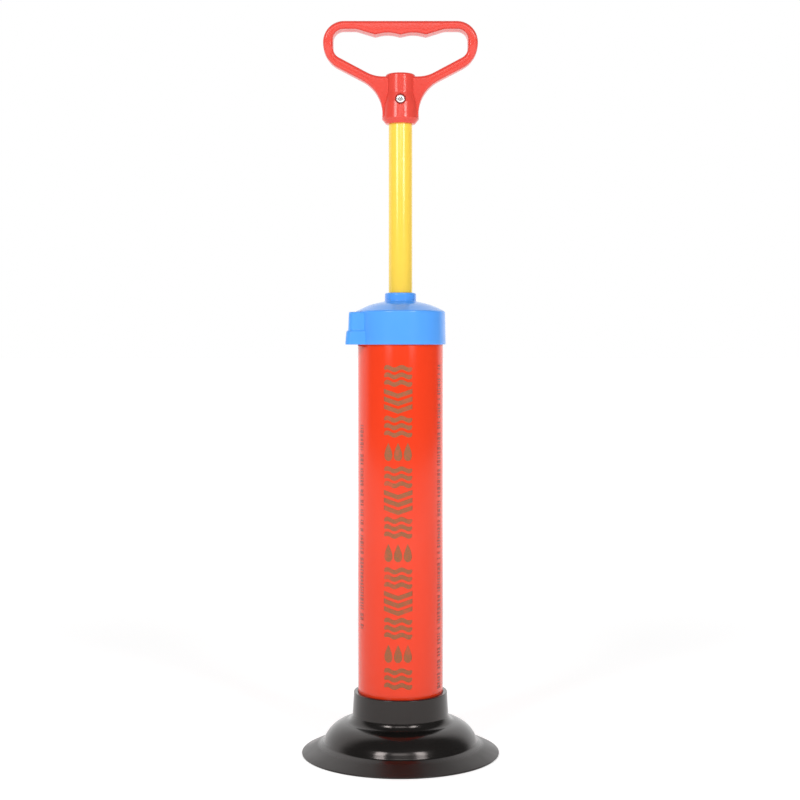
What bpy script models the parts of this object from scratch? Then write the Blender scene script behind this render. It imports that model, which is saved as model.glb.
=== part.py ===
"""Hand vacuum pump plunger: a rubber suction cup on a barrel, with a piston worked by a D-handle.

Metres, +Z up along the pump's axis. The origin is on that axis, in the plane that the cup's rim rests on.
The front is -Y, the handle lies in the XZ plane, and the cap's hooded outlet is on the -X side.
"""
import bpy
import bmesh
import math
from mathutils import Matrix, Vector

MM = 0.001
GAP = 0.3 * MM            # clearance between pieces that touch

# ---- driving dimensions -------------------------------------------------------------------------
TUBE_R = 30.6 * MM        # barrel, a 61 mm pipe
BORE_R = 27.5 * MM
TUBE_BOTTOM = 24.0 * MM
TUBE_TOP = 303.5 * MM

ROD_R = 8.5 * MM          # 17 mm rod tube
ROD_BORE_R = 7.0 * MM
ROD_BOTTOM = 174.5 * MM
ROD_TOP = 483.5 * MM

CAP_BOTTOM = 294.2 * MM
CAP_SHOULDER = 316.8 * MM
CAP_TOP = 331.3 * MM
CAP_R = 32.6 * MM         # skirt at its lower edge
CAP_SHOULDER_R = 32.1 * MM
NECK_R = 11.2 * MM
SEAT_R = 28.2 * MM        # ledge inside the cap that stands on the pipe's end
HOOD_HALF = 20.0 * MM     # half the hood's width
HOOD_WALL = 1.7 * MM
HOOD_TOP = 317.4 * MM
HOOD_STEP = 304.0 * MM    # below this step the hood is wider

HANDLE_BOTTOM = 452.0 * MM
HANDLE_TOP = 524.6 * MM
HANDLE_HALF = 55.2 * MM   # half the handle's width
BAND = 7.1 * MM           # width of the side bands
FRAME_HALF = 6.0 * MM     # half the depth of the handle's arms
GRIP_HALF = 8.0 * MM      # half the depth of its grip
SOCKET_R = 13.25 * MM
BOSS_R = 10.8 * MM
BOSS_TOP = 487.6 * MM
SCREW_Z = 468.6 * MM
SPOT_FACE = 10.1 * MM     # distance of the screw's seat from the axis

RIM_R = 71.0 * MM
RIM_FLAT_R = 66.5 * MM
RIM_EDGE = 0.9 * MM       # height of the rim's thin outer edge
COLLAR_TOP = 44.4 * MM
COLLAR_R = 33.7 * MM
SEAT_Z = TUBE_BOTTOM - GAP

SLEEVE_BOTTOM = 297.7 * MM
SLEEVE_TOP = 327.4 * MM
SEAL_R = BORE_R - GAP
SEAL_BASE = 163.6 * MM
DISC_HOLE_R = 3.4 * MM
BOLT_R = 3.0 * MM

FINE = 56                 # sides of the large turned pieces
MEDIUM = 40
COARSE = 24               # sides of the small ones


# ---- scene, collections and materials -----------------------------------------------------------
def clear_scene():
    for old in list(bpy.data.objects):
        bpy.data.objects.remove(old, do_unlink=True)


def new_collection(name):
    group = bpy.data.collections.new(name)
    bpy.context.scene.collection.children.link(group)
    return group


clear_scene()
PARTS = new_collection("toilet_plunger")
CUTTERS = new_collection("cutters")


def material(name, color, roughness, metallic=0.0):
    mat = bpy.data.materials.new(name)
    mat.use_nodes = True
    shader = mat.node_tree.nodes["Principled BSDF"]
    shader.inputs["Base Color"].default_value = (*color, 1.0)
    shader.inputs["Roughness"].default_value = roughness
    shader.inputs["Metallic"].default_value = metallic
    return mat


# ---- outlines -----------------------------------------------------------------------------------
def rounded(corners, step=30.0, closed=False):
    """Outline through (a, b, fillet radius) corners, with an arc of `step` degree pieces at each fillet."""
    points = []
    count = len(corners)
    for i, (a, b, radius) in enumerate(corners):
        corner = Vector((a, b))
        at_end = not closed and i in (0, count - 1)
        if at_end or radius <= 0.0:
            points.append(corner)
            continue
        before = Vector(corners[i - 1][:2]) - corner
        after = Vector(corners[(i + 1) % count][:2]) - corner
        half = before.angle(after) / 2
        reach = radius / math.tan(half)
        first = corner + before.normalized() * reach
        last = corner + after.normalized() * reach
        centre = corner + (before.normalized() + after.normalized()).normalized() * radius / math.sin(half)
        sweep = (first - centre).angle_signed(last - centre)
        pieces = max(1, round(abs(math.degrees(sweep)) / step))
        arm = first - centre
        for k in range(pieces + 1):
            turn = Matrix.Rotation(-sweep * k / pieces, 2)
            points.append(centre + turn @ arm)
    return points


def inset(points, distance):
    """Closed outline moved to its right-hand side by `distance`, with mitred corners."""
    moved = []
    for i, point in enumerate(points):
        before = (point - points[i - 1]).normalized()
        after = (points[(i + 1) % len(points)] - point).normalized()
        right = Vector((before.y, -before.x)) + Vector((after.y, -after.x))
        moved.append(point + right * 2 * distance / right.length_squared)
    return moved


# ---- object builders ----------------------------------------------------------------------------
def link(obj, group, mat=None):
    group.objects.link(obj)
    if mat:
        obj.data.materials.append(mat)
    if group is CUTTERS:
        obj.hide_render = True
        obj.display_type = "WIRE"
    return obj


def smooth(obj, angle=35.0):
    obj.data.shade_smooth()
    obj.data.set_sharp_from_angle(angle=math.radians(angle))


def turned(name, corners, mat=None, sides=FINE, group=PARTS, step=30.0):
    """A solid of revolution about Z from a closed (radius, z, fillet) profile, outer side first, downwards."""
    outline = rounded(corners, step, closed=True)
    mesh = bpy.data.meshes.new(name)
    count = len(outline)
    edges = [(i, (i + 1) % count) for i in range(count)]
    on_axis = [i for i, point in enumerate(outline) if abs(point.x) < 1e-7]
    edges = [edge for edge in edges if not (edge[0] in on_axis and edge[1] in on_axis)]
    mesh.from_pydata([(point.x, 0.0, point.y) for point in outline], edges, [])
    obj = link(bpy.data.objects.new(name, mesh), group, mat)
    screw = obj.modifiers.new("turn", "SCREW")
    screw.steps = sides
    screw.render_steps = sides
    screw.use_merge_vertices = True
    screw.merge_threshold = 0.00001
    screw.use_smooth_shade = True
    return obj


def primitive(name, shape, mat=None, group=PARTS):
    """Object from a bmesh that `shape` fills in."""
    mesh = bpy.data.meshes.new(name)
    bm = bmesh.new()
    shape(bm)
    bm.to_mesh(mesh)
    bm.free()
    return link(bpy.data.objects.new(name, mesh), group, mat)


def cylinder(name, radius, low, high, mat=None, group=PARTS, sides=COARSE):
    """Upright cylinder about the Z axis."""
    def shape(bm):
        place = Matrix.Translation((0, 0, (low + high) / 2))
        bmesh.ops.create_cone(bm, cap_ends=True, segments=sides, radius1=radius, radius2=radius,
                              depth=high - low, matrix=place)
    return primitive(name, shape, mat, group)


def box(name, low, high, group=CUTTERS):
    def shape(bm):
        size = Matrix.Diagonal((*(b - a for a, b in zip(low, high)), 1.0))
        place = Matrix.Translation([(a + b) / 2 for a, b in zip(low, high)])
        bmesh.ops.create_cube(bm, size=1.0, matrix=place @ size)
    return primitive(name, shape, None, group)


def flat_plate(name, loops, half_depth, edge=0.0, mat=None, group=PARTS):
    """Plate in the XZ plane, `half_depth` thick to each side, with edges rounded to radius `edge`.

    The first outline runs clockwise, and any later one is a hole that runs anticlockwise.
    """
    curve = bpy.data.curves.new(name, "CURVE")
    curve.dimensions = "2D"
    curve.fill_mode = "BOTH"
    curve.extrude = half_depth - edge
    curve.bevel_depth = edge
    curve.bevel_resolution = 1
    for loop in [inset(points, edge) for points in loops]:
        spline = curve.splines.new("POLY")
        spline.points.add(len(loop) - 1)
        for point, place in zip(spline.points, loop):
            point.co = (*place, 0.0, 1.0)
        spline.use_cyclic_u = True
    source = bpy.data.objects.new(name + "_outline", curve)
    source.rotation_euler = (math.radians(90), 0.0, 0.0)
    bpy.context.scene.collection.objects.link(source)
    bpy.context.view_layer.update()
    mesh = bpy.data.meshes.new_from_object(source.evaluated_get(bpy.context.evaluated_depsgraph_get()))
    mesh.transform(source.matrix_world)
    bpy.data.objects.remove(source, do_unlink=True)
    bm = bmesh.new()
    bm.from_mesh(mesh)
    bmesh.ops.remove_doubles(bm, verts=bm.verts, dist=0.00001)
    bmesh.ops.recalc_face_normals(bm, faces=bm.faces)
    bm.to_mesh(mesh)
    bm.free()
    mesh.name = name
    mesh.materials.clear()
    return link(bpy.data.objects.new(name, mesh), group, mat)


def boolean(obj, tool, operation):
    change = obj.modifiers.new(operation.lower() + "_" + tool.name, "BOOLEAN")
    change.operation = operation
    change.solver = "EXACT"
    change.object = tool


def hexagon(name, across_flats, low, high, mat=None, group=PARTS):
    return cylinder(name, across_flats / 2 / math.cos(math.pi / 6), low, high, mat, group, sides=6)


# ---- rubber cup ---------------------------------------------------------------------------------
def make_rubber_cup():
    corners = [
        (COLLAR_R, COLLAR_TOP, 0.6 * MM),
        (34.8 * MM, 23.6 * MM, 6.0 * MM),
        (47.8 * MM, 22.1 * MM, 21.0 * MM),
        (56.1 * MM, 8.6 * MM, 4.0 * MM),
        (RIM_R, RIM_EDGE, 0.0),
        (RIM_R - 0.2 * MM, 0.0, 0.0),
        (RIM_FLAT_R, 0.0, 0.0),
        (54.3 * MM, 5.5 * MM, 4.0 * MM),
        (45.2 * MM, 18.4 * MM, 15.0 * MM),
        (26.5 * MM, 19.4 * MM, 0.8 * MM),
        (26.5 * MM, SEAT_Z, 0.0),
        (TUBE_R + GAP, SEAT_Z, 0.0),
        (TUBE_R + GAP, COLLAR_TOP, 0.6 * MM),
    ]
    rubber = material("rubber_black", (0.018, 0.016, 0.015), 0.35)
    return turned("rubber_cup", corners, rubber, step=18.0)


# ---- barrel and cap -----------------------------------------------------------------------------
def make_barrel_tube():
    corners = [
        (TUBE_R, TUBE_TOP, 0.0),
        (TUBE_R, TUBE_BOTTOM, 0.0),
        (BORE_R, TUBE_BOTTOM, 0.0),
        (BORE_R, TUBE_TOP, 0.0),
    ]
    return turned("barrel_tube", corners, material("pvc_red", (0.85, 0.06, 0.03), 0.25))


def hood_outline(top, bottom, wall):
    """Side view of the hood, drawn `wall` inside its outer face: upright above, flared below a small step."""
    corners = [
        (-20.0 * MM, top, 0.0),
        (-20.0 * MM, bottom, 0.0),
        (wall - 39.2 * MM, bottom, 0.0),
        (wall - 38.4 * MM, HOOD_STEP - 0.8 * MM, 0.0),
        (wall - 37.1 * MM, HOOD_STEP + 0.8 * MM, 0.0),
        (wall - 36.6 * MM, top, 0.0),
    ]
    return rounded(corners, closed=True)


def make_cap():
    corners = [
        (NECK_R, CAP_TOP, 0.7 * MM),
        (NECK_R, 325.2 * MM, 1.0 * MM),
        (20.5 * MM, 322.8 * MM, 40.0 * MM),
        (CAP_SHOULDER_R, CAP_SHOULDER + 1.2 * MM, 1.6 * MM),
        (CAP_R, CAP_BOTTOM, 0.5 * MM),
        (TUBE_R + GAP, CAP_BOTTOM, 0.0),
        (TUBE_R + GAP, TUBE_TOP + GAP, 0.0),
        (SEAT_R, TUBE_TOP + GAP, 0.0),
        (SEAT_R, 314.6 * MM, 1.5 * MM),
        (20.0 * MM, 320.2 * MM, 0.0),
        (14.0 * MM, 321.5 * MM, 0.0),
        (10.4 * MM, 321.5 * MM, 0.0),
        (10.4 * MM, 330.3 * MM, 0.0),
        (8.9 * MM, 330.3 * MM, 0.0),
        (8.9 * MM, CAP_TOP, 0.0),
    ]
    blue = material("pp_blue", (0.10, 0.36, 0.90), 0.3)
    cap = turned("cap", corners, blue)

    hood = flat_plate("hood_body", [hood_outline(HOOD_TOP, CAP_BOTTOM, 0.0)], HOOD_HALF, group=CUTTERS)
    edge = hood.modifiers.new("round_edges", "BEVEL")
    edge.width = 0.9 * MM
    edge.segments = 1
    edge.angle_limit = math.radians(50)
    core = cylinder("hood_core", TUBE_R + GAP + 0.9 * MM, CAP_BOTTOM - MM, HOOD_TOP + MM,
                    group=CUTTERS, sides=FINE)
    boolean(hood, core, "DIFFERENCE")
    boolean(cap, hood, "UNION")

    inside = hood_outline(313.4 * MM, CAP_BOTTOM - 2 * MM, HOOD_WALL)
    channel = flat_plate("hood_channel", [inside], HOOD_HALF - HOOD_WALL, group=CUTTERS)
    boolean(cap, channel, "DIFFERENCE")
    return cap


def make_rod_guide_sleeve():
    corners = [
        (10.1 * MM, SLEEVE_TOP, 0.0),
        (10.1 * MM, 321.2 * MM, 0.0),
        (13.0 * MM, 321.2 * MM, 0.5 * MM),
        (13.0 * MM, 319.2 * MM, 0.5 * MM),
        (11.2 * MM, 319.2 * MM, 0.0),
        (11.2 * MM, SLEEVE_BOTTOM, 0.6 * MM),
        (8.75 * MM, SLEEVE_BOTTOM, 0.0),
        (8.75 * MM, SLEEVE_TOP, 0.0),
    ]
    nylon = material("nylon_natural", (0.80, 0.78, 0.70), 0.4)
    return turned("rod_guide_sleeve", corners, nylon, sides=MEDIUM)


def make_rod_wiper_ring():
    corners = [
        (10.1 * MM, 330.0 * MM, 0.0),
        (10.1 * MM, SLEEVE_TOP + GAP, 0.0),
        (8.75 * MM, SLEEVE_TOP + GAP, 0.0),
        (8.75 * MM, 330.0 * MM, 0.0),
    ]
    return turned("rod_wiper_ring", corners, material("nitrile_black", (0.02, 0.02, 0.02), 0.5), sides=MEDIUM)


# ---- rod and piston -----------------------------------------------------------------------------
def screw_hole(name, y_low, y_high, radius):
    """Cutter along Y at the height of the handle screw."""
    def shape(bm):
        turn = Matrix.Rotation(math.radians(90), 4, "X")
        place = Matrix.Translation((0, (y_low + y_high) / 2, SCREW_Z)) @ turn
        bmesh.ops.create_cone(bm, cap_ends=True, segments=24, radius1=radius, radius2=radius,
                              depth=y_high - y_low, matrix=place)
    return primitive(name, shape, None, CUTTERS)


def make_rod_tube():
    corners = [
        (ROD_R, ROD_TOP, 0.0),
        (ROD_R, ROD_BOTTOM, 0.0),
        (ROD_BORE_R, ROD_BOTTOM, 0.0),
        (ROD_BORE_R, ROD_TOP, 0.0),
    ]
    rod = turned("rod_tube", corners, material("plastic_yellow", (0.93, 0.70, 0.07), 0.3), sides=MEDIUM)
    boolean(rod, screw_hole("rod_screw_hole", -12 * MM, -4 * MM, 1.9 * MM), "DIFFERENCE")
    return rod


def make_rod_end_plug():
    corners = [
        (ROD_BORE_R - GAP, 194.0 * MM, 0.6 * MM),
        (ROD_BORE_R - GAP, ROD_BOTTOM - GAP, 0.0),
        (ROD_R - 0.1 * MM, ROD_BOTTOM - GAP, 0.0),
        (ROD_R - 0.1 * MM, 171.5 * MM, 0.4 * MM),
        (DISC_HOLE_R, 171.5 * MM, 0.0),
        (DISC_HOLE_R, 194.0 * MM, 0.0),
    ]
    plug = turned("rod_end_plug", corners, material("plug_grey", (0.35, 0.36, 0.38), 0.5), sides=COARSE)
    boolean(plug, hexagon("nut_pocket", 10.7 * MM, 187.7 * MM, 196.0 * MM, group=CUTTERS), "DIFFERENCE")
    return plug


def make_plug_nut():
    steel = material("zinc_steel", (0.62, 0.62, 0.60), 0.35, 1.0)
    nut = hexagon("plug_nut", 10.0 * MM, 188.0 * MM, 193.0 * MM, steel)
    boolean(nut, cylinder("nut_bore", BOLT_R + GAP, 186 * MM, 195 * MM, group=CUTTERS), "DIFFERENCE")
    return nut


def disc(name, radius, low, high, mat, hole=DISC_HOLE_R, edge=0.5 * MM, sides=MEDIUM):
    corners = [(radius, high, edge), (radius, low, edge), (hole, low, 0.0), (hole, high, 0.0)]
    return turned(name, corners, mat, sides=sides)


def make_piston():
    """Seal between two discs, clamped by a bolt that runs up into the rod's end plug."""
    white = material("disc_white", (0.75, 0.76, 0.76), 0.45)
    disc("piston_upper_disc", 23.6 * MM, SEAL_BASE + 3.2 * MM, 171.2 * MM, white)
    disc("piston_lower_disc", 25.8 * MM, 158.8 * MM, SEAL_BASE - GAP, white)
    seal = [
        (SEAL_R, 176.5 * MM, 0.5 * MM),
        (SEAL_R, 167.5 * MM, 0.0),
        (26.2 * MM, SEAL_BASE, 1.0 * MM),
        (DISC_HOLE_R, SEAL_BASE, 0.0),
        (DISC_HOLE_R, SEAL_BASE + 2.9 * MM, 0.0),
        (23.9 * MM, SEAL_BASE + 2.9 * MM, 0.8 * MM),
        (25.4 * MM, 176.5 * MM, 0.3 * MM),
    ]
    turned("piston_cup_seal", seal, material("seal_rubber", (0.03, 0.03, 0.03), 0.55))

    steel = material("bolt_steel", (0.60, 0.60, 0.58), 0.35, 1.0)
    disc("piston_washer", 9.0 * MM, 157.0 * MM, 158.5 * MM, steel, BOLT_R + GAP, 0.2 * MM, COARSE)
    disc("piston_lock_washer", 5.5 * MM, 155.3 * MM, 156.7 * MM, steel, BOLT_R + GAP, 0.2 * MM, COARSE)
    bolt = hexagon("piston_bolt", 10.0 * MM, 151.0 * MM, 155.0 * MM, steel)
    shank = [
        (0.0, 195.5 * MM, 0.0),
        (BOLT_R, 195.5 * MM, 0.5 * MM),
        (BOLT_R, 153.0 * MM, 0.0),
        (0.0, 153.0 * MM, 0.0),
    ]
    boolean(bolt, turned("bolt_shank", shank, sides=24, group=CUTTERS), "UNION")


# ---- handle -------------------------------------------------------------------------------------
def mirrored(right_side):
    """Closed outline from the corners of its right half, which run from x = 0 to x = 0."""
    left_side = [(-x, z, radius) for x, z, radius in reversed(right_side) if x > 1e-6]
    return right_side + left_side


def handle_outer(step):
    """Flat top, round shoulders, straight arms that sweep down into the upright socket."""
    slope = math.tan(math.radians(27.5))
    elbow_z = 497.2 * MM
    root_x = SOCKET_R - 0.3 * MM
    root_z = elbow_z - (HANDLE_HALF - root_x) * slope
    right = [
        (0.0, HANDLE_TOP, 0.0),
        (HANDLE_HALF, HANDLE_TOP, 15.0 * MM),
        (HANDLE_HALF, elbow_z, 19.5 * MM),
        (root_x, root_z, 27.0 * MM),
        (root_x, 456.0 * MM, 0.0),
        (0.0, 456.0 * MM, 0.0),
    ]
    return rounded(mirrored(right), step, closed=True)


def finger_scallops():
    """Cusps of the grip's underside at the middle and on each side of it, with an arc between each two."""
    pitch = 18.4 * MM
    cusp_z = 514.9 * MM
    rise = 1.4 * MM
    corners = [(0.0, cusp_z, 0.0)]
    pieces = 6
    for k in range(1, pieces):
        share = k / pieces
        corners.append((pitch * share, cusp_z + rise * 4 * share * (1 - share), 0.0))
    corners.append((pitch, cusp_z, 0.0))
    return corners


def handle_inner(step):
    """Finger loop: scallops above, upright sides, arms running in to a flat floor at the boss."""
    side = HANDLE_HALF - BAND
    end_z = 518.9 * MM
    floor_z = 485.7 * MM
    right = finger_scallops() + [
        (31.5 * MM, end_z, 12.0 * MM),
        (side, end_z, 7.5 * MM),
        (side, 501.3 * MM, 8.0 * MM),
        (18.6 * MM, floor_z, 24.0 * MM),
        (0.0, floor_z, 0.0),
    ]
    return rounded(mirrored(right), step, closed=True)


def deepen_grip(mesh):
    """The frame grows deeper from the arms up to the grip."""
    low, high = 497.0 * MM, 513.0 * MM
    for vertex in mesh.vertices:
        share = min(1.0, max(0.0, (vertex.co.z - low) / (high - low)))
        blend = share * share * (3.0 - 2.0 * share)
        vertex.co.y *= 1.0 + blend * (GRIP_HALF / FRAME_HALF - 1.0)


def make_handle():
    red = material("handle_red", (0.86, 0.07, 0.05), 0.3)
    outlines = [handle_outer(15.0), handle_inner(20.0)[::-1]]
    frame = flat_plate("handle", outlines, FRAME_HALF, 2.0 * MM, red)
    deepen_grip(frame.data)

    boss = [
        (0.0, BOSS_TOP, 0.0),
        (BOSS_R, BOSS_TOP, 1.8 * MM),
        (BOSS_R, 462.0 * MM, 0.0),
        (0.0, 462.0 * MM, 0.0),
    ]
    boolean(frame, turned("handle_boss", boss, sides=MEDIUM, group=CUTTERS), "UNION")
    collar = [
        (0.0, 465.8 * MM, 0.0),
        (SOCKET_R, 465.8 * MM, 1.4 * MM),
        (SOCKET_R, 455.4 * MM, 0.0),
        (10.4 * MM, HANDLE_BOTTOM, 0.0),
        (0.0, HANDLE_BOTTOM, 0.0),
    ]
    boolean(frame, turned("handle_collar", collar, sides=MEDIUM, group=CUTTERS), "UNION")
    socket = cylinder("handle_socket", ROD_R + GAP, 450 * MM, ROD_TOP + GAP, group=CUTTERS, sides=MEDIUM)
    boolean(frame, socket, "DIFFERENCE")
    boolean(frame, screw_hole("spot_face", -20 * MM, -SPOT_FACE, 3.9 * MM), "DIFFERENCE")
    boolean(frame, screw_hole("boss_screw_hole", -12 * MM, -4 * MM, 2.0 * MM), "DIFFERENCE")
    smooth(frame, 40.0)
    return frame


def make_handle_screw():
    """Pan-head screw from the front, through the boss and the rod's front wall."""
    under_head = SPOT_FACE + GAP
    steel = material("screw_steel", (0.75, 0.75, 0.76), 0.25, 1.0)
    corners = [
        (0.0, 2.3 * MM, 0.0),
        (3.3 * MM, 2.3 * MM, 1.5 * MM),
        (3.3 * MM, 0.0, 0.0),
        (1.6 * MM, 0.0, 0.0),
        (1.6 * MM, -7.0 * MM, 0.0),
        (0.0, -8.5 * MM, 0.0),
    ]
    screw = turned("handle_screw", corners, steel, sides=24)
    screw.location = (0.0, -under_head, SCREW_Z)
    screw.rotation_euler = (math.radians(90), 0.0, 0.0)
    for k in range(2):
        bar = box("drive_slot_%d" % (k + 1), (-2.0 * MM, -0.45 * MM, 1.2 * MM), (2.0 * MM, 0.45 * MM, 4.0 * MM))
        bar.parent = screw
        bar.rotation_euler = (0.0, 0.0, math.radians(45 + 90 * k))
        boolean(screw, bar, "DIFFERENCE")
    return screw


# ---- assembly -----------------------------------------------------------------------------------
make_rubber_cup()
make_barrel_tube()
make_cap()
make_rod_guide_sleeve()
make_rod_wiper_ring()
make_rod_tube()
make_rod_end_plug()
make_plug_nut()
make_piston()
make_handle()
make_handle_screw()
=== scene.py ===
"""Looks for the hand vacuum pump plunger: fine surfaces, materials, light and camera round the pack.

Metres, +Z up. The front is -Y, the handle lies in the XZ plane and the cap's hooded outlet is on the -X side.
"""
import math
import random

import bmesh
import bpy
from mathutils import Matrix, Vector


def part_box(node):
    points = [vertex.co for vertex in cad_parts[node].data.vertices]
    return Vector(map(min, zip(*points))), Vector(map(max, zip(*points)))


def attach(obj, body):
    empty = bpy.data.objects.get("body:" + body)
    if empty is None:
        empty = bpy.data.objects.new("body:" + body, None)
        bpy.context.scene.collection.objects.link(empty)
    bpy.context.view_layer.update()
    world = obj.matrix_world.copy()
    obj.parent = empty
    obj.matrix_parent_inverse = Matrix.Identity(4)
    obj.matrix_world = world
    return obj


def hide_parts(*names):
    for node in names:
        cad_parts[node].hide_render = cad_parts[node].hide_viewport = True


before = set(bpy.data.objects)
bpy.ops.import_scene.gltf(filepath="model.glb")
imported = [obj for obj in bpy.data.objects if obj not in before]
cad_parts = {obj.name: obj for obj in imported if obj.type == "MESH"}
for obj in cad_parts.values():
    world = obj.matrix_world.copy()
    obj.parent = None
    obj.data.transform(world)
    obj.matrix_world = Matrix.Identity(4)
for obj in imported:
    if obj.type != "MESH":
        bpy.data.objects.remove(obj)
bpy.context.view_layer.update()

MM = 0.001
GAP = 0.3 * MM                      # clearance that the solids keep where they touch
SLIVER = 0.004 * MM                 # points nearer than this are one point
ON_AXIS = 1e-7                      # a radius below this is a point on the Z axis


# ---- places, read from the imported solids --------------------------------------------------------
def reach(node):
    """Largest radius about the Z axis of a turned node."""
    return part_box(node)[1].x


def low_z(node):
    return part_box(node)[0].z


def high_z(node):
    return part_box(node)[1].z


# ---- outlines -----------------------------------------------------------------------------------
def rounded(corners, step=6.0, closed=True):
    """Outline through (a, b, fillet radius) corners, with an arc of `step` degree pieces at each fillet."""
    points = []
    count = len(corners)
    for i, (a, b, radius) in enumerate(corners):
        corner = Vector((a, b))
        if radius <= 0.0 or (not closed and i in (0, count - 1)):
            points.append(corner)
            continue
        before = (Vector(corners[i - 1][:2]) - corner).normalized()
        after = (Vector(corners[(i + 1) % count][:2]) - corner).normalized()
        half = before.angle(after) / 2
        first = corner + before * radius / math.tan(half)
        last = corner + after * radius / math.tan(half)
        centre = corner + (before + after).normalized() * radius / math.sin(half)
        sweep = (first - centre).angle_signed(last - centre)
        pieces = max(2, round(abs(math.degrees(sweep)) / step))
        for k in range(pieces + 1):
            points.append(centre + Matrix.Rotation(-sweep * k / pieces, 2) @ (first - centre))
    return points


def resample(points, count):
    """`count` + 1 points evenly spaced along an open polyline."""
    lengths = [0.0]
    for a, b in zip(points, points[1:]):
        lengths.append(lengths[-1] + (b - a).length)
    result = []
    piece = 0
    for k in range(count + 1):
        target = lengths[-1] * k / count
        while piece < len(points) - 2 and lengths[piece + 1] < target:
            piece += 1
        span = lengths[piece + 1] - lengths[piece]
        share = (target - lengths[piece]) / span if span > 0 else 0.0
        result.append(points[piece].lerp(points[piece + 1], min(1.0, share)))
    return result


# ---- mesh builders ------------------------------------------------------------------------------
def new_object(name, bm, sharp=35.0):
    mesh = bpy.data.meshes.new(name)
    bmesh.ops.recalc_face_normals(bm, faces=bm.faces)
    bm.to_mesh(mesh)
    bm.free()
    mesh.shade_smooth()
    mesh.set_sharp_from_angle(angle=math.radians(sharp))
    obj = bpy.data.objects.new(name, mesh)
    bpy.context.scene.collection.objects.link(obj)
    return obj


def ring_grid(rings):
    """Closed surface through closed rings of points; the last ring joins the first."""
    bm = bmesh.new()
    rows = [[bm.verts.new(point) for point in ring] for ring in rings]
    for i, row in enumerate(rows):
        following = rows[(i + 1) % len(rows)]
        for j in range(len(row)):
            k = (j + 1) % len(row)
            bm.faces.new((row[j], row[k], following[k], following[j]))
    return bm


def turned(name, profile, sides=160, sharp=35.0):
    """Solid of revolution about Z from a closed outline of (radius, z) points, on or off the axis."""
    bm = bmesh.new()
    columns = []
    for radius, z in profile:
        if radius < ON_AXIS:
            columns.append([bm.verts.new((0.0, 0.0, z))] * sides)
            continue
        turn = [2 * math.pi * k / sides for k in range(sides)]
        columns.append([bm.verts.new((radius * math.cos(t), radius * math.sin(t), z)) for t in turn])
    for i, column in enumerate(columns):
        following = columns[(i + 1) % len(columns)]
        for j in range(sides):
            k = (j + 1) % sides
            corners = list(dict.fromkeys((column[j], column[k], following[k], following[j])))
            if len(corners) > 2:
                bm.faces.new(corners)
    return new_object(name, bm, sharp)


def pipe(name, node, bore_r, fillet, sides):
    """Pipe as long and as wide as the node, with the edges of its ends eased."""
    outer, low, high = reach(node), low_z(node), high_z(node)
    corners = [(outer, high, fillet), (outer, low, fillet), (bore_r, low, fillet), (bore_r, high, fillet)]
    return turned(name, rounded(corners, 30.0), sides)


def lofted(name, layers):
    """Solid through layers of points, each a closed loop with as many points, capped at both ends."""
    bm = bmesh.new()
    rows = [[bm.verts.new(point) for point in layer] for layer in layers]
    for row, following in zip(rows, rows[1:]):
        for j in range(len(row)):
            k = (j + 1) % len(row)
            bm.faces.new((row[j], row[k], following[k], following[j]))
    bm.faces.new(rows[0])
    bm.faces.new(rows[-1])
    return new_object(name, bm)


def rod_shape(name, radius, start, end, sides=64):
    """Capped cylinder between two points."""
    axis = Vector(end) - Vector(start)
    middle = (Vector(start) + Vector(end)) / 2
    place = Matrix.Translation(middle) @ axis.to_track_quat("Z", "Y").to_matrix().to_4x4()
    bm = bmesh.new()
    bmesh.ops.create_cone(bm, cap_ends=True, segments=sides, radius1=radius, radius2=radius,
                          depth=axis.length, matrix=place)
    return new_object(name, bm)


def apply_modifiers(obj):
    graph = bpy.context.evaluated_depsgraph_get()
    mesh = bpy.data.meshes.new_from_object(obj.evaluated_get(graph))
    obj.modifiers.clear()
    obj.data = mesh


def combine(obj, tool, operation):
    """Boolean with a helper object, which is then removed."""
    change = obj.modifiers.new(operation.lower(), "BOOLEAN")
    change.operation = operation
    change.solver = "EXACT"
    change.object = tool
    bpy.context.view_layer.update()
    apply_modifiers(obj)
    bpy.data.objects.remove(tool, do_unlink=True)


def finish_shading(obj, sharp=32.0):
    """Closes the slivers that booleans leave, then smooths all but the sharp edges."""
    bm = bmesh.new()
    bm.from_mesh(obj.data)
    bmesh.ops.remove_doubles(bm, verts=bm.verts, dist=SLIVER)
    bmesh.ops.dissolve_degenerate(bm, edges=bm.edges, dist=SLIVER)
    bm.to_mesh(obj.data)
    bm.free()
    obj.data.shade_smooth()
    obj.data.set_sharp_from_angle(angle=math.radians(sharp))
    weighted = obj.modifiers.new("even_normals", "WEIGHTED_NORMAL")
    weighted.keep_sharp = True


def stands_for(obj, mat, body, slot, *nodes):
    """The piece's material, the body it moves with and the CAD nodes that it replaces; `slot` is not used."""
    obj.data.materials.clear()
    obj.data.materials.append(mat)
    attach(obj, body)
    if nodes:
        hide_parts(*nodes)


# ---- materials ----------------------------------------------------------------------------------
def new_material(name, roughness, metallic=0.0, specular=0.5):
    mat = bpy.data.materials.new(name)
    mat.use_nodes = True
    shader = mat.node_tree.nodes["Principled BSDF"]
    shader.inputs["Roughness"].default_value = roughness
    shader.inputs["Metallic"].default_value = metallic
    shader.inputs["Specular IOR Level"].default_value = specular
    return mat, mat.node_tree, shader


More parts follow.
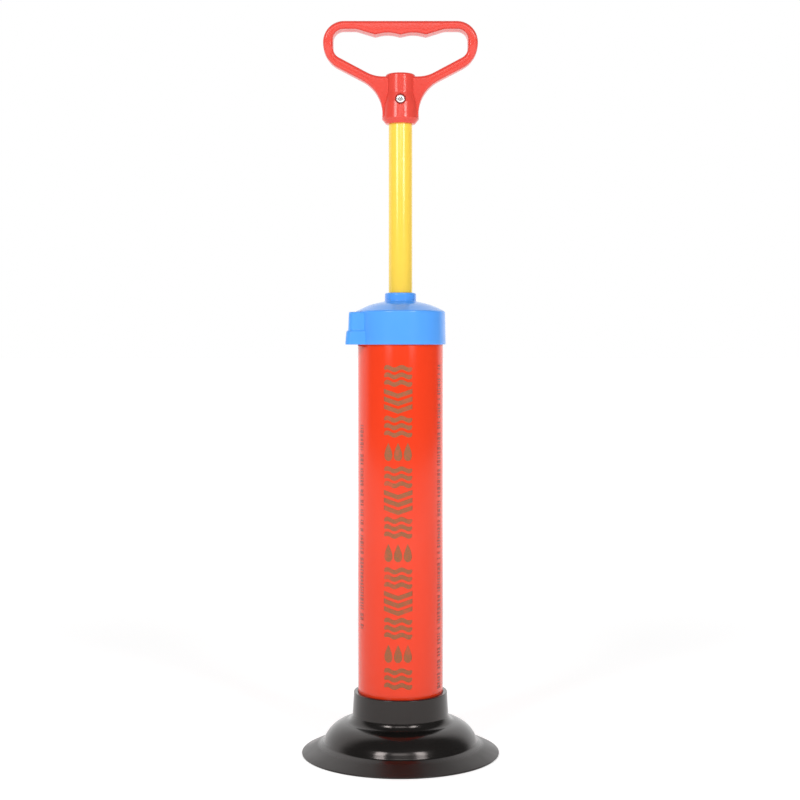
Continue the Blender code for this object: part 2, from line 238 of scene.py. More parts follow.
def noise(tree, scale, squeeze=(1.0, 1.0, 1.0), detail=3.0, rough=0.5):
    """Noise over the object's own coordinates, in features of about 1 / scale metres.

    A part of `squeeze` below 1 draws the features out along that axis.
    """
    place = tree.nodes.new("ShaderNodeTexCoord")
    mapping = tree.nodes.new("ShaderNodeMapping")
    mapping.inputs["Scale"].default_value = squeeze
    texture = tree.nodes.new("ShaderNodeTexNoise")
    texture.inputs["Scale"].default_value = scale
    texture.inputs["Detail"].default_value = detail
    texture.inputs["Roughness"].default_value = rough
    tree.links.new(place.outputs["Object"], mapping.inputs["Vector"])
    tree.links.new(mapping.outputs["Vector"], texture.inputs["Vector"])
    return texture.outputs["Fac"]


def ramp(tree, value, low, high, first, second):
    """Value or colour that goes from `first` below `low` to `second` above `high`."""
    node = tree.nodes.new("ShaderNodeValToRGB")
    node.color_ramp.elements[0].position = low
    node.color_ramp.elements[1].position = high
    for element, color in zip(node.color_ramp.elements, (first, second)):
        element.color = (*color, 1.0) if isinstance(color, tuple) else (color, color, color, 1.0)
    tree.links.new(value, node.inputs["Fac"])
    return node.outputs["Color"]


def map_range(tree, value, low, high, first, second):
    """Number that goes smoothly from `first` at `low` to `second` at `high`."""
    node = tree.nodes.new("ShaderNodeMapRange")
    node.interpolation_type = "SMOOTHSTEP"
    node.inputs["From Min"].default_value = low
    node.inputs["From Max"].default_value = high
    node.inputs["To Min"].default_value = first
    node.inputs["To Max"].default_value = second
    tree.links.new(value, node.inputs["Value"])
    return node.outputs["Result"]


def calculate(tree, operation, first, second):
    node = tree.nodes.new("ShaderNodeMath")
    node.operation = operation
    tree.links.new(first, node.inputs[0])
    tree.links.new(second, node.inputs[1])
    return node.outputs["Value"]


def axis_distance(tree):
    """Distance of the shaded point from the object's Z axis."""
    place = tree.nodes.new("ShaderNodeTexCoord")
    flat = tree.nodes.new("ShaderNodeVectorMath")
    flat.operation = "MULTIPLY"
    flat.inputs[1].default_value = (1.0, 1.0, 0.0)
    length = tree.nodes.new("ShaderNodeVectorMath")
    length.operation = "LENGTH"
    tree.links.new(place.outputs["Object"], flat.inputs[0])
    tree.links.new(flat.outputs["Vector"], length.inputs[0])
    return length.outputs["Value"]


def mix(tree, factor, first, second):
    """Colour mix. `first` and `second` are colours or sockets, and the factor is a number or a socket."""
    node = tree.nodes.new("ShaderNodeMix")
    node.data_type = "RGBA"
    for key, value in (("Factor", factor), ("A", first), ("B", second)):
        socket = node.inputs[key]
        if isinstance(value, bpy.types.NodeSocket):
            tree.links.new(value, socket)
        elif isinstance(value, tuple):
            socket.default_value = (*value, 1.0)
        else:
            socket.default_value = value
    return node.outputs["Result"]


def bump(tree, shader, layers):
    """Stacked bumps from (height socket, depth in metres) pairs."""
    normal = None
    for height, depth in layers:
        node = tree.nodes.new("ShaderNodeBump")
        node.inputs["Strength"].default_value = 1.0
        node.inputs["Distance"].default_value = depth
        tree.links.new(height, node.inputs["Height"])
        if normal:
            tree.links.new(normal, node.inputs["Normal"])
        normal = node.outputs["Normal"]
    tree.links.new(normal, shader.inputs["Normal"])


def shade(color, factor):
    """The colour made darker or lighter, at most white."""
    return tuple(min(1.0, channel * factor) for channel in color)


WARM_SHEEN = (1.0, 0.90, 0.87)      # tint of the rubber's reflections
INK_ROUGHNESS = 0.42


def moulded_plastic(name, color, roughness, specular=0.5):
    """Injection-moulded plastic: faint flow marks in its colour, fine grain, scuffs in its gloss."""
    mat, tree, shader = new_material(name, roughness, specular=specular)
    flow = noise(tree, 28.0, (1.0, 1.0, 0.5), 2.0)
    tone = ramp(tree, flow, 0.3, 0.7, shade(color, 0.97), shade(color, 1.02))
    tree.links.new(tone, shader.inputs["Base Color"])
    scuffs = noise(tree, 240.0, (1.0, 1.0, 0.25), 5.0, 0.65)
    gloss = ramp(tree, scuffs, 0.45, 0.8, roughness * 0.95, roughness * 1.25)
    tree.links.new(gloss, shader.inputs["Roughness"])
    unevenness = noise(tree, 60.0, detail=1.0)
    grain = noise(tree, 2600.0)
    bump(tree, shader, [(unevenness, 0.02 * MM), (grain, 0.003 * MM)])
    return mat


def extruded_plastic(name, color, roughness, specular=0.5):
    """Extruded pipe or tube: fine die lines along Z, small scratches and a slight change of tone."""
    mat, tree, shader = new_material(name, roughness, specular=specular)
    streaks = noise(tree, 14.0, (1.0, 1.0, 0.35), 2.0)
    tone = ramp(tree, streaks, 0.3, 0.7, shade(color, 0.96), shade(color, 1.03))
    tree.links.new(tone, shader.inputs["Base Color"])
    scratches = noise(tree, 520.0, (1.0, 1.0, 0.06), 4.0, 0.6)
    gloss = ramp(tree, scratches, 0.5, 0.8, roughness * 0.95, roughness * 1.25)
    tree.links.new(gloss, shader.inputs["Roughness"])
    die_lines = noise(tree, 900.0, (1.0, 1.0, 0.002), 1.0)
    bump(tree, shader, [(die_lines, 0.012 * MM), (scratches, 0.003 * MM)])
    return mat


def rubber(name, color, roughness, matt_from=80 * MM):
    """Moulded rubber: fine grain, faint bloom and dust, and matt beyond `matt_from` from the Z axis."""
    mat, tree, shader = new_material(name, roughness)
    shader.inputs["Specular Tint"].default_value = (*WARM_SHEEN, 1.0)
    bloom = noise(tree, 45.0, detail=4.0, rough=0.6)
    toned = ramp(tree, bloom, 0.35, 0.7, shade(color, 0.85), shade(color, 1.35))
    specks = noise(tree, 1500.0, detail=2.0)
    dust = ramp(tree, specks, 0.70, 0.78, 0.0, 0.25)
    tree.links.new(mix(tree, dust, toned, shade(color, 3.0)), shader.inputs["Base Color"])
    gloss = ramp(tree, bloom, 0.3, 0.75, roughness * 0.85, roughness * 1.3)
    wear = map_range(tree, axis_distance(tree), matt_from, matt_from + 4 * MM, 1.0, 2.0)
    tree.links.new(calculate(tree, "MULTIPLY", gloss, wear), shader.inputs["Roughness"])
    unevenness = noise(tree, 80.0, detail=1.0)
    grain = noise(tree, 1800.0)
    bump(tree, shader, [(unevenness, 0.06 * MM), (grain, 0.006 * MM)])
    return mat


def plated_metal(name, color, roughness):
    """Plated steel: soft cloudy tone, and fine marks in its gloss and surface."""
    mat, tree, shader = new_material(name, roughness, metallic=1.0)
    cloud = noise(tree, 300.0)
    tone = ramp(tree, cloud, 0.3, 0.7, shade(color, 0.86), shade(color, 1.1))
    tree.links.new(tone, shader.inputs["Base Color"])
    marks = noise(tree, 2200.0, (1.0, 1.0, 0.1))
    gloss = ramp(tree, marks, 0.3, 0.8, roughness * 0.8, roughness * 1.6)
    tree.links.new(gloss, shader.inputs["Roughness"])
    bump(tree, shader, [(marks, 0.004 * MM)])
    return mat


def ink(name, color, under):
    """Screen-printed ink, a little thin in places so that the pipe's colour shows through."""
    mat, tree, shader = new_material(name, INK_ROUGHNESS)
    cover = noise(tree, 900.0, detail=4.0, rough=0.7)
    worn = noise(tree, 90.0)
    thin = mix(tree, ramp(tree, cover, 0.42, 0.62, 0.30, 0.05), color, under)
    patchy = mix(tree, ramp(tree, worn, 0.55, 0.75, 0.0, 0.35), thin, under)
    tree.links.new(patchy, shader.inputs["Base Color"])
    bump(tree, shader, [(cover, 0.004 * MM)])
    return mat


BARREL_RED = (0.82, 0.046, 0.010)
HANDLE_RED = (0.67, 0.059, 0.042)
CAP_BLUE = (0.076, 0.330, 0.88)
ROD_YELLOW = (0.86, 0.585, 0.066)
INK_OLIVE = (0.185, 0.105, 0.032)
INK_DARK = (0.30, 0.040, 0.020)
CUP_BLACK = (0.0062, 0.0056, 0.0052)
SEAL_BLACK = (0.022, 0.022, 0.023)
NYLON_CREAM = (0.72, 0.69, 0.58)
PLUG_GREY = (0.30, 0.31, 0.33)
DISC_WHITE = (0.74, 0.75, 0.74)
ZINC = (0.62, 0.62, 0.59)
NICKEL = (0.80, 0.80, 0.80)

M_BARREL = extruded_plastic("barrel_red_pvc", BARREL_RED, 0.16, 0.36)
M_ROD = extruded_plastic("rod_yellow_plastic", ROD_YELLOW, 0.2)
M_CAP = moulded_plastic("cap_blue_plastic", CAP_BLUE, 0.22)
M_HANDLE = moulded_plastic("handle_red_plastic", HANDLE_RED, 0.2, 0.36)
M_RUBBER = rubber("cup_black_rubber", CUP_BLACK, 0.17, 57 * MM)
M_SEAL = rubber("seal_black_rubber", SEAL_BLACK, 0.5)
M_NYLON = moulded_plastic("sleeve_nylon", NYLON_CREAM, 0.42)
M_PLUG = moulded_plastic("plug_grey_plastic", PLUG_GREY, 0.45)
M_DISC = moulded_plastic("disc_white_plastic", DISC_WHITE, 0.4)
M_PLATED = plated_metal("zinc_plated_steel", ZINC, 0.32)
M_SCREW = plated_metal("nickel_plated_screw", NICKEL, 0.18)
M_INK = ink("ink_olive", INK_OLIVE, BARREL_RED)
M_FINE_INK = ink("ink_fine_marks", INK_DARK, BARREL_RED)


# ---- rubber cup ---------------------------------------------------------------------------------
def make_rubber_cup():
    """Collar with a rolled lip, a sweep into the dome, a crease and a flared flange.

    One outline, from the lip down the outside to the rim, then up the inside with its small rib under the
    dome, the ledge that the pipe stands on, and the collar's bore.
    """
    rim = reach("rubber_cup") + 0.1 * MM
    top = high_z("rubber_cup")
    tube = reach("barrel_tube")
    seat = low_z("barrel_tube") - 0.1 * MM
    throat = 26.5 * MM
    corners = [
        (33.6 * MM, top, 0.5 * MM),
        (33.75 * MM, top - 3.0 * MM, 2.0 * MM),
        (34.8 * MM, 23.6 * MM, 6.0 * MM),
        (47.8 * MM, 22.1 * MM, 21.0 * MM),
        (54.0 * MM, 12.4 * MM, 12.0 * MM),
        (55.4 * MM, 8.5 * MM, 2.0 * MM),
        (rim, 0.9 * MM, 0.4 * MM),
        (rim - 0.2 * MM, 0.0, 0.2 * MM),
        (66.5 * MM, 0.0, 1.0 * MM),
        (54.3 * MM, 5.5 * MM, 4.0 * MM),
        (45.2 * MM, 18.4 * MM, 15.0 * MM),
        (36.6 * MM, 18.9 * MM, 0.3 * MM),
        (36.2 * MM, 18.0 * MM, 0.4 * MM),
        (35.2 * MM, 18.0 * MM, 0.4 * MM),
        (34.8 * MM, 19.0 * MM, 0.3 * MM),
        (throat, 19.4 * MM, 1.2 * MM),
        (throat, seat, 0.4 * MM),
        (tube + 0.05 * MM, seat, 0.3 * MM),
        (tube + 0.05 * MM, top - 0.5 * MM, 0.4 * MM),
        (tube + 0.3 * MM, top, 0.2 * MM),
    ]
    cup = turned("suction_cup", rounded(corners, 5.0), 224, 40.0)
    stands_for(cup, M_RUBBER, "barrel", "cup_rubber", "rubber_cup")


# ---- barrel and its print -----------------------------------------------------------------------
BARREL_BORE_R = 27.5 * MM
INK_FILM = 0.03 * MM                # an ink film's thickness, and how far it is off the pipe
BAND_AZIMUTH = -3.2                 # middle of the printed band, in degrees round from the front
BAND_HALF = 10.2 * MM               # half the band's width
PRINT_SEED = 7


def make_barrel():
    tube = pipe("barrel", "barrel_tube", BARREL_BORE_R, 0.4 * MM, 224)
    stands_for(tube, M_BARREL, "barrel", "barrel_plastic", "barrel_tube")


def wrap(side, z, radius, azimuth):
    """Point on the barrel `side` metres round from the azimuth, which is 0 at the front."""
    turn = azimuth + side / radius
    return Vector((radius * math.sin(turn), -radius * math.cos(turn), z))


def print_piece(name, patches, azimuth, mat):
    """Ink film. A patch is a list of lines, each a pair of (side, z) ends, filled from line to line."""
    skin = reach("barrel_tube") + INK_FILM
    across = 10
    bm = bmesh.new()
    for lines in patches:
        rows = []
        for first, last in lines:
            ends = Vector(first), Vector(last)
            places = [ends[0].lerp(ends[1], k / across) for k in range(across + 1)]
            rows.append([bm.verts.new(wrap(place.x, place.y, skin, azimuth)) for place in places])
        for row, following in zip(rows, rows[1:]):
            for k in range(across):
                bm.faces.new((row[k], row[k + 1], following[k + 1], following[k]))
    film = new_object(name, bm, 60.0)
    solid = film.modifiers.new("film", "SOLIDIFY")
    solid.thickness = INK_FILM
    solid.offset = 1.0
    stands_for(film, mat, "barrel", "barrel_plastic")


def wave_bar(z, half_width, thickness, swing):
    """Bar across the band with a gentle wave in it and round ends."""
    lines = []
    pieces = 36
    bluntness = 0.02                # of the thickness, left at the tips so that no face has zero area
    for k in range(pieces + 1):
        share = 2 * k / pieces - 1
        side = half_width * share
        middle = z + swing * math.sin(2 * math.pi * share)
        into_end = max(0.0, (abs(side) - half_width + thickness / 2) / (thickness / 2))
        half = thickness / 2 * max(math.sqrt(max(0.0, 1 - into_end ** 2)), bluntness)
        lines.append(((side, middle - half), (side, middle + half)))
    return lines


def chevron(z, half_width, thickness, fall):
    """Chevron across the band, its point `fall` below its ends."""
    lines = []
    pieces = 24
    for k in range(pieces + 1):
        share = 2 * k / pieces - 1
        side = half_width * share
        middle = z + (abs(share) - 0.5) * fall
        lines.append(((side, middle - thickness / 2), (side, middle + thickness / 2)))
    return lines


def drop(side, z, size):
    """Water drop with its point upwards, `size` above and below z."""
    lines = []
    pieces = 30
    plumpness, taper = 0.62, 1.3
    for k in range(pieces + 1):
        turn = math.pi * k / pieces
        half = size * plumpness * math.sin(turn) * math.sin(turn / 2) ** taper
        level = z + size * math.cos(turn)
        lines.append(((side - half, level), (side + half, level)))
    return lines


def make_print():
    """Generic water pattern in the middle band, and a column of small dashes near each edge.

    The band's groups are, in turn, waves, drops, waves and chevrons.
    """
    low = high_z("rubber_cup") + 6.0 * MM
    high = low_z("cap") - 13.0 * MM
    groups = 13
    pitch = (high - low) / groups
    drop_pitch = 6.9 * MM
    patches = []
    for k in range(groups):
        z = low + pitch * (k + 0.5)
        if k % 4 == 1:
            patches += [drop(side, z, 6.4 * MM) for side in (-drop_pitch, 0.0, drop_pitch)]
            continue
        for row in (-1, 0, 1):
            if k % 4 == 3:
                patches.append(chevron(z + row * 5.4 * MM, BAND_HALF, 3.3 * MM, 3.4 * MM))
            else:
                patches.append(wave_bar(z + row * 5.2 * MM, BAND_HALF, 3.2 * MM, 0.9 * MM))
    print_piece("print_band", patches, math.radians(BAND_AZIMUTH), M_INK)

    draw = random.Random(PRINT_SEED)
    # (piece, azimuth in degrees, lowest and highest dash in millimetres)
    columns = (("print_dashes_right", 63.5, 48.0, 280.0), ("print_dashes_left", -64.0, 92.0, 237.0))
    for name, azimuth, start, end in columns:
        dashes = []
        z = end * MM
        while z > start * MM:
            length = draw.choice((0.9, 1.2, 1.6, 2.1)) * MM
            half = draw.choice((2.2, 2.6, 2.6)) * MM
            dashes.append([((-half, z), (half, z)), ((-half, z - length), (half, z - length))])
            z -= length + draw.choice((0.8, 0.8, 1.0, 1.0, 2.8)) * MM
        print_piece(name, dashes, math.radians(azimuth), M_FINE_INK)


# ---- cap ----------------------------------------------------------------------------------------
def make_cap():
    """Skirt, low dome and neck, with the hooded outlet on the -X side."""
    bottom, top = low_z("cap"), high_z("cap")
    tube = reach("barrel_tube")
    ledge = high_z("barrel_tube") + GAP
    shoulder = bottom + 22.6 * MM
    skirt = 32.6 * MM
    neck = 11.2 * MM
    ring_bore, sleeve_bore, inner = 8.9 * MM, 10.4 * MM, 28.2 * MM
    ring_seat, sleeve_seat = 330.3 * MM, 321.5 * MM
    corners = [
        (neck, top, 1.3 * MM),
        (neck, 325.2 * MM, 1.2 * MM),
        (21.5 * MM, 323.1 * MM, 36.0 * MM),
        (skirt - 0.5 * MM, shoulder + 1.2 * MM, 1.6 * MM),
        (skirt, bottom, 0.9 * MM),
        (tube + 0.9 * MM, bottom, 0.2 * MM),
        (tube + 0.1 * MM, bottom + 1.6 * MM, 0.2 * MM),
        (tube + 0.1 * MM, ledge, 0.0),
        (inner, ledge, 0.3 * MM),
        (inner, 314.6 * MM, 1.5 * MM),
        (20.0 * MM, 320.2 * MM, 0.0),
        (14.0 * MM, sleeve_seat, 0.0),
        (sleeve_bore, sleeve_seat, 0.0),
        (sleeve_bore, ring_seat, 0.0),
        (ring_bore, ring_seat, 0.0),
        (ring_bore, top, 0.3 * MM),
    ]
    cap = turned("pump_cap", rounded(corners, 6.0), 192)

    hood_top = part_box("cap")[0].z + 23.2 * MM
    step = 304.0 * MM
    # (height, distance of the hood's face from the axis, half its width)
    sections = [
        (bottom, 38.7 * MM, 20.9 * MM),
        (bottom + 0.15 * MM, 39.0 * MM, 21.2 * MM),
        (bottom + 0.6 * MM, 39.15 * MM, 21.35 * MM),
        (step - 1.0 * MM, 38.45 * MM, 20.9 * MM),
        (step - 0.6 * MM, 38.3 * MM, 20.8 * MM),
        (step + 0.6 * MM, 37.25 * MM, 19.9 * MM),
        (step + 1.0 * MM, 37.1 * MM, 19.8 * MM),
        (hood_top - 1.0 * MM, 36.65 * MM, 19.6 * MM),
        (hood_top - 0.5 * MM, 36.5 * MM, 19.45 * MM),
        (hood_top - 0.15 * MM, 36.2 * MM, 19.15 * MM),
        (hood_top, 35.7 * MM, 18.7 * MM),
    ]

    def hood_layer(z, face, half_width):
        """Plan of the hood at one height; it starts within the skirt, at `root` from the axis."""
        root, corner = 18.0 * MM, 4.5 * MM
        plan = [(-root, half_width, 0.0), (-face, half_width, corner),
                (-face, -half_width, corner), (-root, -half_width, 0.0)]
        return [(x, y, z) for x, y in rounded(plan, 5.0)]

    hood = lofted("hood", [hood_layer(*section) for section in sections])
    core = rod_shape("hood_core", tube + 1.2 * MM, (0, 0, bottom - MM), (0, 0, hood_top + MM), 192)
    combine(hood, core, "DIFFERENCE")
    combine(cap, hood, "UNION")
    inside = [(bottom - 2 * MM, 37.4 * MM, 19.2 * MM), (step - 1.0 * MM, 36.75 * MM, 19.1 * MM),
              (step + 1.0 * MM, 35.4 * MM, 18.1 * MM), (313.4 * MM, 35.0 * MM, 18.0 * MM)]
    combine(cap, lofted("channel", [hood_layer(*section) for section in inside]), "DIFFERENCE")
    finish_shading(cap)
    stands_for(cap, M_CAP, "barrel", "cap_plastic", "cap")


# ---- rod ----------------------------------------------------------------------------------------
ROD_BORE_R = 7.0 * MM


def make_rod():
    rod = pipe("pump_rod", "rod_tube", ROD_BORE_R, 0.3 * MM, 96)
    stands_for(rod, M_ROD, "rod", "rod_plastic", "rod_tube")


# ---- handle -------------------------------------------------------------------------------------
HANDLE_TOP = high_z("handle")
HANDLE_BOTTOM = low_z("handle")
HANDLE_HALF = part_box("handle")[1].x
LOOP_HALF = HANDLE_HALF - 7.1 * MM  # half the finger loop's width
SOCKET_R = 13.25 * MM               # collar's lower edge
FOOT_Z = 456.0 * MM                 # where the frame starts, within the collar
LOOP_FLOOR_Z = 485.7 * MM
ELBOW_Z = 497.2 * MM                # outer corner between the sloping and the upright part
CUSP_Z = 514.9 * MM                 # grip's lowest points, between the scallops
LOOP_TOP_Z = 518.9 * MM


def handle_outer():
    """Right half of the frame's outer outline, from the middle of its foot to the middle of its top."""
    slope = math.tan(math.radians(27.5))
    root_x = SOCKET_R - 0.3 * MM
    root_z = ELBOW_Z - (HANDLE_HALF - root_x) * slope
    return rounded([
        (0.0, FOOT_Z, 0.0),
        (root_x, FOOT_Z, 0.0),
        (root_x, root_z, 27.0 * MM),
        (HANDLE_HALF, ELBOW_Z, 19.5 * MM),
        (HANDLE_HALF, HANDLE_TOP, 15.0 * MM),
        (0.0, HANDLE_TOP, 0.0),
    ], 3.0, closed=False)


def handle_inner():
    """Right half of the finger loop, from the middle of its floor to the middle cusp of the grip.

    `blunt` rounds the cusps between the scallops.
    """
    pitch, rise, blunt = 18.4 * MM, 1.4 * MM, 0.15
    scallop = []
    pieces = 24
    for k in range(pieces - 1, -1, -1):
        swing = math.sin(math.pi * k / pieces)
        lift = (math.sqrt(swing * swing + blunt * blunt) - blunt) / (math.sqrt(1 + blunt * blunt) - blunt)
        scallop.append((pitch * k / pieces, CUSP_Z + rise * lift, 0.0))
    return rounded([
        (0.0, LOOP_FLOOR_Z, 0.0),
        (18.6 * MM, LOOP_FLOOR_Z, 24.0 * MM),
        (LOOP_HALF, 501.3 * MM, 8.0 * MM),
        (LOOP_HALF, LOOP_TOP_Z, 7.5 * MM),
        (31.5 * MM, LOOP_TOP_Z, 12.0 * MM),
        (pitch, CUSP_Z, 0.8 * MM),
    ] + scallop, 4.0, closed=False)


def stations(outline, anchors, counts):
    """Points along an outline, `counts` of them evenly between each two anchors."""
    marks = [min(range(len(outline)), key=lambda i: (outline[i] - Vector(a)).length) for a in anchors]
    points = []
    for first, last, count in zip(marks, marks[1:], counts):
        points += resample(outline[first:last + 1], count)[:-1]
    return points + [outline[marks[-1]]]


def frame_section(outer, inner, half_depth):
    """Rounded section between the two outlines, with the mould's parting line raised round the middle."""
    middle = (outer + inner) / 2
    half = (outer - inner).length / 2
    across = (outer - inner).normalized()
    radius = min(2.5 * MM, half * 0.85)
    flash, flash_half = 0.09 * MM, 0.22 * MM
    corner_pieces = 6
    points = []
    for side in (1, -1):
        points.append((side * half, side * -flash_half))
        points.append((side * (half + flash), 0.0))
        points.append((side * half, side * flash_half))
        for start in (0, 90):
            for k in range(corner_pieces + 1):
                turn = math.radians(start + 90 * k / corner_pieces)
                reach_w = half - radius if start == 0 else radius - half
                points.append((side * (reach_w + radius * math.cos(turn)),
                               side * (half_depth - radius + radius * math.sin(turn))))
    return [Vector((middle.x + across.x * w, y, middle.y + across.y * w)) for w, y in points]


def make_handle():
    """D-shaped frame lofted round the finger loop, joined to the boss and the collar that hold the rod."""
    floor_mark = (9.0 * MM, LOOP_FLOOR_Z)
    # (on the outer outline, on the inner outline, sections from here to the next pair)
    anchors = [
        ((0.0, FOOT_Z), (0.0, LOOP_FLOOR_Z), 14),
        ((12.95 * MM, 458.9 * MM), floor_mark, 26),
        ((27.4 * MM, 482.7 * MM), (23.9 * MM, 488.5 * MM), 22),
        ((44.7 * MM, 491.7 * MM), (43.8 * MM, 499.0 * MM), 26),
        ((55.2 * MM, 509.0 * MM), (LOOP_HALF, 506.1 * MM), 6),
        ((55.2 * MM, 509.6 * MM), (LOOP_HALF, 511.4 * MM), 26),
        ((40.2 * MM, HANDLE_TOP), (40.6 * MM, LOOP_TOP_Z), 90),
        ((0.0, HANDLE_TOP), (0.0, CUSP_Z), 0),
    ]
    outer_anchors, inner_anchors, counts = zip(*anchors)
    loop = handle_inner()
    loop.insert(1, Vector(floor_mark))
    outers = stations(resample_straights(handle_outer()), outer_anchors, counts)
    inners = stations(resample_straights(loop), inner_anchors, counts)
    arm_half, grip_extra = 6.0 * MM, 2.0 * MM       # half depths along Y
    deepens_from, deepens_over = 497 * MM, 16 * MM
    sections = []
    for outer, inner in zip(outers, inners):
        level = min(outer.y, inner.y + 8 * MM)
        share = min(1.0, max(0.0, (level - deepens_from) / deepens_over))
        half_depth = arm_half + grip_extra * share * share * (3 - 2 * share)
        sections.append(frame_section(outer, inner, half_depth))
    mirror = []
    for section in reversed(sections[1:-1]):
        mirror.append([Vector((-point.x, point.y, point.z)) for point in section])
    body = new_object("pump_handle", ring_grid(sections + mirror), 40.0)

    boss_r = 10.8 * MM
    boss_top, boss_foot = 487.6 * MM, 462.0 * MM
    boss = [
        (0.0, boss_top, 0.0),
        (boss_r, boss_top, 1.8 * MM),
        (boss_r, boss_foot, 0.0),
        (0.0, boss_foot, 0.0),
    ]
    combine(body, turned("boss", rounded(boss), 128), "UNION")
    collar_top = 476.0 * MM
    collar = [
        (0.0, collar_top, 0.0),
        (boss_r - 0.1 * MM, collar_top, 0.0),
        (boss_r + 0.02 * MM, 474.0 * MM, 5.0 * MM),
        (SOCKET_R - 0.65 * MM, 466.5 * MM, 6.0 * MM),
        (SOCKET_R, 455.4 * MM, 1.2 * MM),
        (10.4 * MM, HANDLE_BOTTOM, 0.4 * MM),
        (0.0, HANDLE_BOTTOM, 0.0),
    ]
    combine(body, turned("collar", rounded(collar), 128), "UNION")
    below, socket_end = (0, 0, 440 * MM), (0, 0, high_z("rod_tube") + GAP)
    socket = rod_shape("socket", reach("rod_tube") + 0.1 * MM, below, socket_end, 128)
    combine(body, socket, "DIFFERENCE")
    screw_low, screw_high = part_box("handle_screw")
    screw_z = (screw_low.z + screw_high.z) / 2
    in_front = (0, -20 * MM, screw_z)
    spot_face = rod_shape("spot_face", 3.9 * MM, in_front, (0, -10.1 * MM, screw_z), 64)
    combine(body, spot_face, "DIFFERENCE")
    hole = rod_shape("hole", 1.9 * MM, in_front, (0, -5 * MM, screw_z), 48)
    combine(body, hole, "DIFFERENCE")
    finish_shading(body)
    stands_for(body, M_HANDLE, "rod", "handle_plastic", "handle")


def resample_straights(points, longest=1.2 * MM):
    """The same outline with its long pieces divided, so that each anchor finds a point near it."""
    result = [points[0]]
    for a, b in zip(points, points[1:]):
        pieces = max(1, math.ceil((b - a).length / longest))
        result += [a.lerp(b, k / pieces) for k in range(1, pieces + 1)]
    return result


def make_handle_screw():
    """Pan head with a cross recess, bright plated."""
    low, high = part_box("handle_screw")
    seat_y = -10.4 * MM
    tall = seat_y - low.y
    head_r, shank_r = 3.3 * MM, 1.6 * MM
    corners = [
        (0.0, tall, 0.0),
        (head_r, tall, 1.6 * MM),
        (head_r, 0.0, 0.15 * MM),
        (shank_r, 0.0, 0.0),
        (shank_r, -7.0 * MM, 0.0),
        (0.0, -8.5 * MM, 0.0),
    ]
    screw = turned("boss_screw", rounded(corners, 8.0), 96)
    for angle in (45, 135):
        bm = bmesh.new()
        spin = Matrix.Rotation(math.radians(angle), 4, "Z")
        blade = Matrix.Diagonal((2.6 * MM, 0.45 * MM, 1.6 * MM, 1.0))
        place = spin @ Matrix.Translation((0, 0, tall)) @ blade
        bmesh.ops.create_cube(bm, size=1.0, matrix=place)
        combine(screw, new_object("recess", bm), "DIFFERENCE")
    seat = Matrix.Translation((0, seat_y, (low.z + high.z) / 2))
    screw.data.transform(seat @ Matrix.Rotation(math.radians(90), 4, "X"))
    finish_shading(screw)
    stands_for(screw, M_SCREW, "rod", "screw_steel", "handle_screw")


# ---- inner pieces keep their solids -------------------------------------------------------------
def dress_inner_pieces():
    dressing = {
        "rod_guide_sleeve": M_NYLON,
        "rod_wiper_ring": M_SEAL,
        "rod_end_plug": M_PLUG,
        "plug_nut": M_PLATED,
        "piston_upper_disc": M_DISC,
        "piston_lower_disc": M_DISC,
        "piston_cup_seal": M_SEAL,
        "piston_washer": M_PLATED,
        "piston_lock_washer": M_PLATED,
        "piston_bolt": M_PLATED,
    }
    for node, mat in dressing.items():
        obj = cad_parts[node]
        for slot in obj.material_slots:
            slot.material = mat


# ---- floor, light and camera --------------------------------------------------------------------
WHITE = (1.0, 1.0, 1.0, 1.0)
FLOOR_R = 30.0
FLOOR_GREY = (0.75, 0.75, 0.75, 1.0)
FLOOR_GLOW = (0.45, 1.7, 0.5, 0.95)         # from and to distance from the axis, glow there
LIGHT_DISTANCE = 1.5
LIGHT_AIM = (0.0, 0.0, 0.30)
SOFTBOX_Z = 1.0
SOFTBOX_HEIGHT = 0.60
BEHIND = (-0.216, 0.976, 0.0)               # direction of the backdrop's middle
ROOM_LIGHT = (0.15, 0.55, 0.16, 1.25)       # from and to share towards BEHIND, strength there
SENSOR_WIDTH = 36.0
LENS = 69.4
LENS_SHIFT = (-0.0006, -0.0270)
CAMERA_PLACE = (0.0, -1.109, 0.2945)
CAMERA_TILT = 1.27                          # degrees below level


def make_floor():
    """Plain pale floor that glows more and more outwards, into the white background."""
    bm = bmesh.new()
    bmesh.ops.create_circle(bm, cap_ends=True, segments=96, radius=FLOOR_R)
    floor = new_object("floor", bm)
    floor.location.z = -0.2 * MM
    mat, tree, shader = new_material("floor_white", 0.9, specular=0.0)
    shader.inputs["Emission Color"].default_value = WHITE
    shader.inputs["Base Color"].default_value = FLOOR_GREY
    glow = map_range(tree, axis_distance(tree), *FLOOR_GLOW)
    tree.links.new(glow, shader.inputs["Emission Strength"])
    floor.data.materials.append(mat)


def area_light(name, size, watts, place, target):
    data = bpy.data.lights.new(name, "AREA")
    data.shape = "RECTANGLE"
    data.size, data.size_y = size
    data.energy = watts
    light = bpy.data.objects.new(name, data)
    light.location = place
    light.rotation_euler = (Vector(target) - Vector(place)).to_track_quat("-Z", "Y").to_euler()
    bpy.context.scene.collection.objects.link(light)


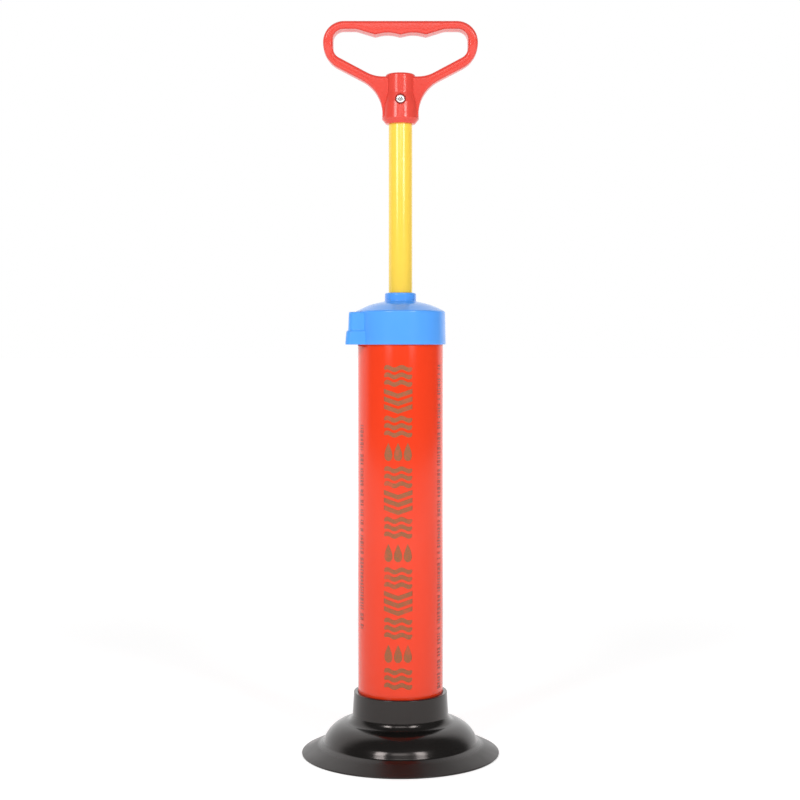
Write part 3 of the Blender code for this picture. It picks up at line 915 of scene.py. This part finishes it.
def make_lights():
    """Two softboxes in front, a weak fill between them, and a white room, brightest at the back."""
    # (light, azimuth in degrees from the front, width, watts)
    softboxes = (("softbox_left", -32.5, 0.41, 9.7), ("softbox_right", 32.5, 0.385, 9.1))
    for name, azimuth, width, watts in softboxes:
        turn = math.radians(azimuth)
        place = (LIGHT_DISTANCE * math.sin(turn), -LIGHT_DISTANCE * math.cos(turn), SOFTBOX_Z)
        area_light(name, (width, SOFTBOX_HEIGHT), watts, place, LIGHT_AIM)
    area_light("front_fill", (0.7, 0.42), 3.1, (0.0, -1.46, 1.04), LIGHT_AIM)

    world = bpy.data.worlds.new("studio")
    bpy.context.scene.world = world
    world.use_nodes = True
    tree = world.node_tree
    background = tree.nodes["Background"]
    paths = tree.nodes.new("ShaderNodeLightPath")
    direction = tree.nodes.new("ShaderNodeTexCoord")
    towards = tree.nodes.new("ShaderNodeVectorMath")
    towards.operation = "DOT_PRODUCT"
    towards.inputs[1].default_value = BEHIND
    tree.links.new(direction.outputs["Generated"], towards.inputs[0])
    room = map_range(tree, towards.outputs["Value"], *ROOM_LIGHT)
    seen = tree.nodes.new("ShaderNodeMix")
    seen.data_type = "FLOAT"
    tree.links.new(paths.outputs["Is Camera Ray"], seen.inputs["Factor"])
    tree.links.new(room, seen.inputs["A"])
    seen.inputs["B"].default_value = 1.0
    tree.links.new(seen.outputs["Result"], background.inputs["Strength"])
    background.inputs["Color"].default_value = WHITE


def make_camera():
    """Camera about as high as the cap's lower edge, tilted slightly down; a lens shift does the rest."""
    data = bpy.data.cameras.new("camera")
    data.sensor_width = SENSOR_WIDTH
    data.lens = LENS
    data.shift_x, data.shift_y = LENS_SHIFT
    data.clip_start = 0.01
    camera = bpy.data.objects.new("camera", data)
    camera.location = CAMERA_PLACE
    camera.rotation_euler = (math.radians(90 - CAMERA_TILT), 0.0, 0.0)
    bpy.context.scene.collection.objects.link(camera)
    bpy.context.scene.camera = camera
    bpy.context.scene.view_settings.view_transform = "Standard"


make_rubber_cup()
make_barrel()
make_print()
make_cap()
make_rod()
make_handle()
make_handle_screw()
dress_inner_pieces()
make_floor()
make_lights()
make_camera()
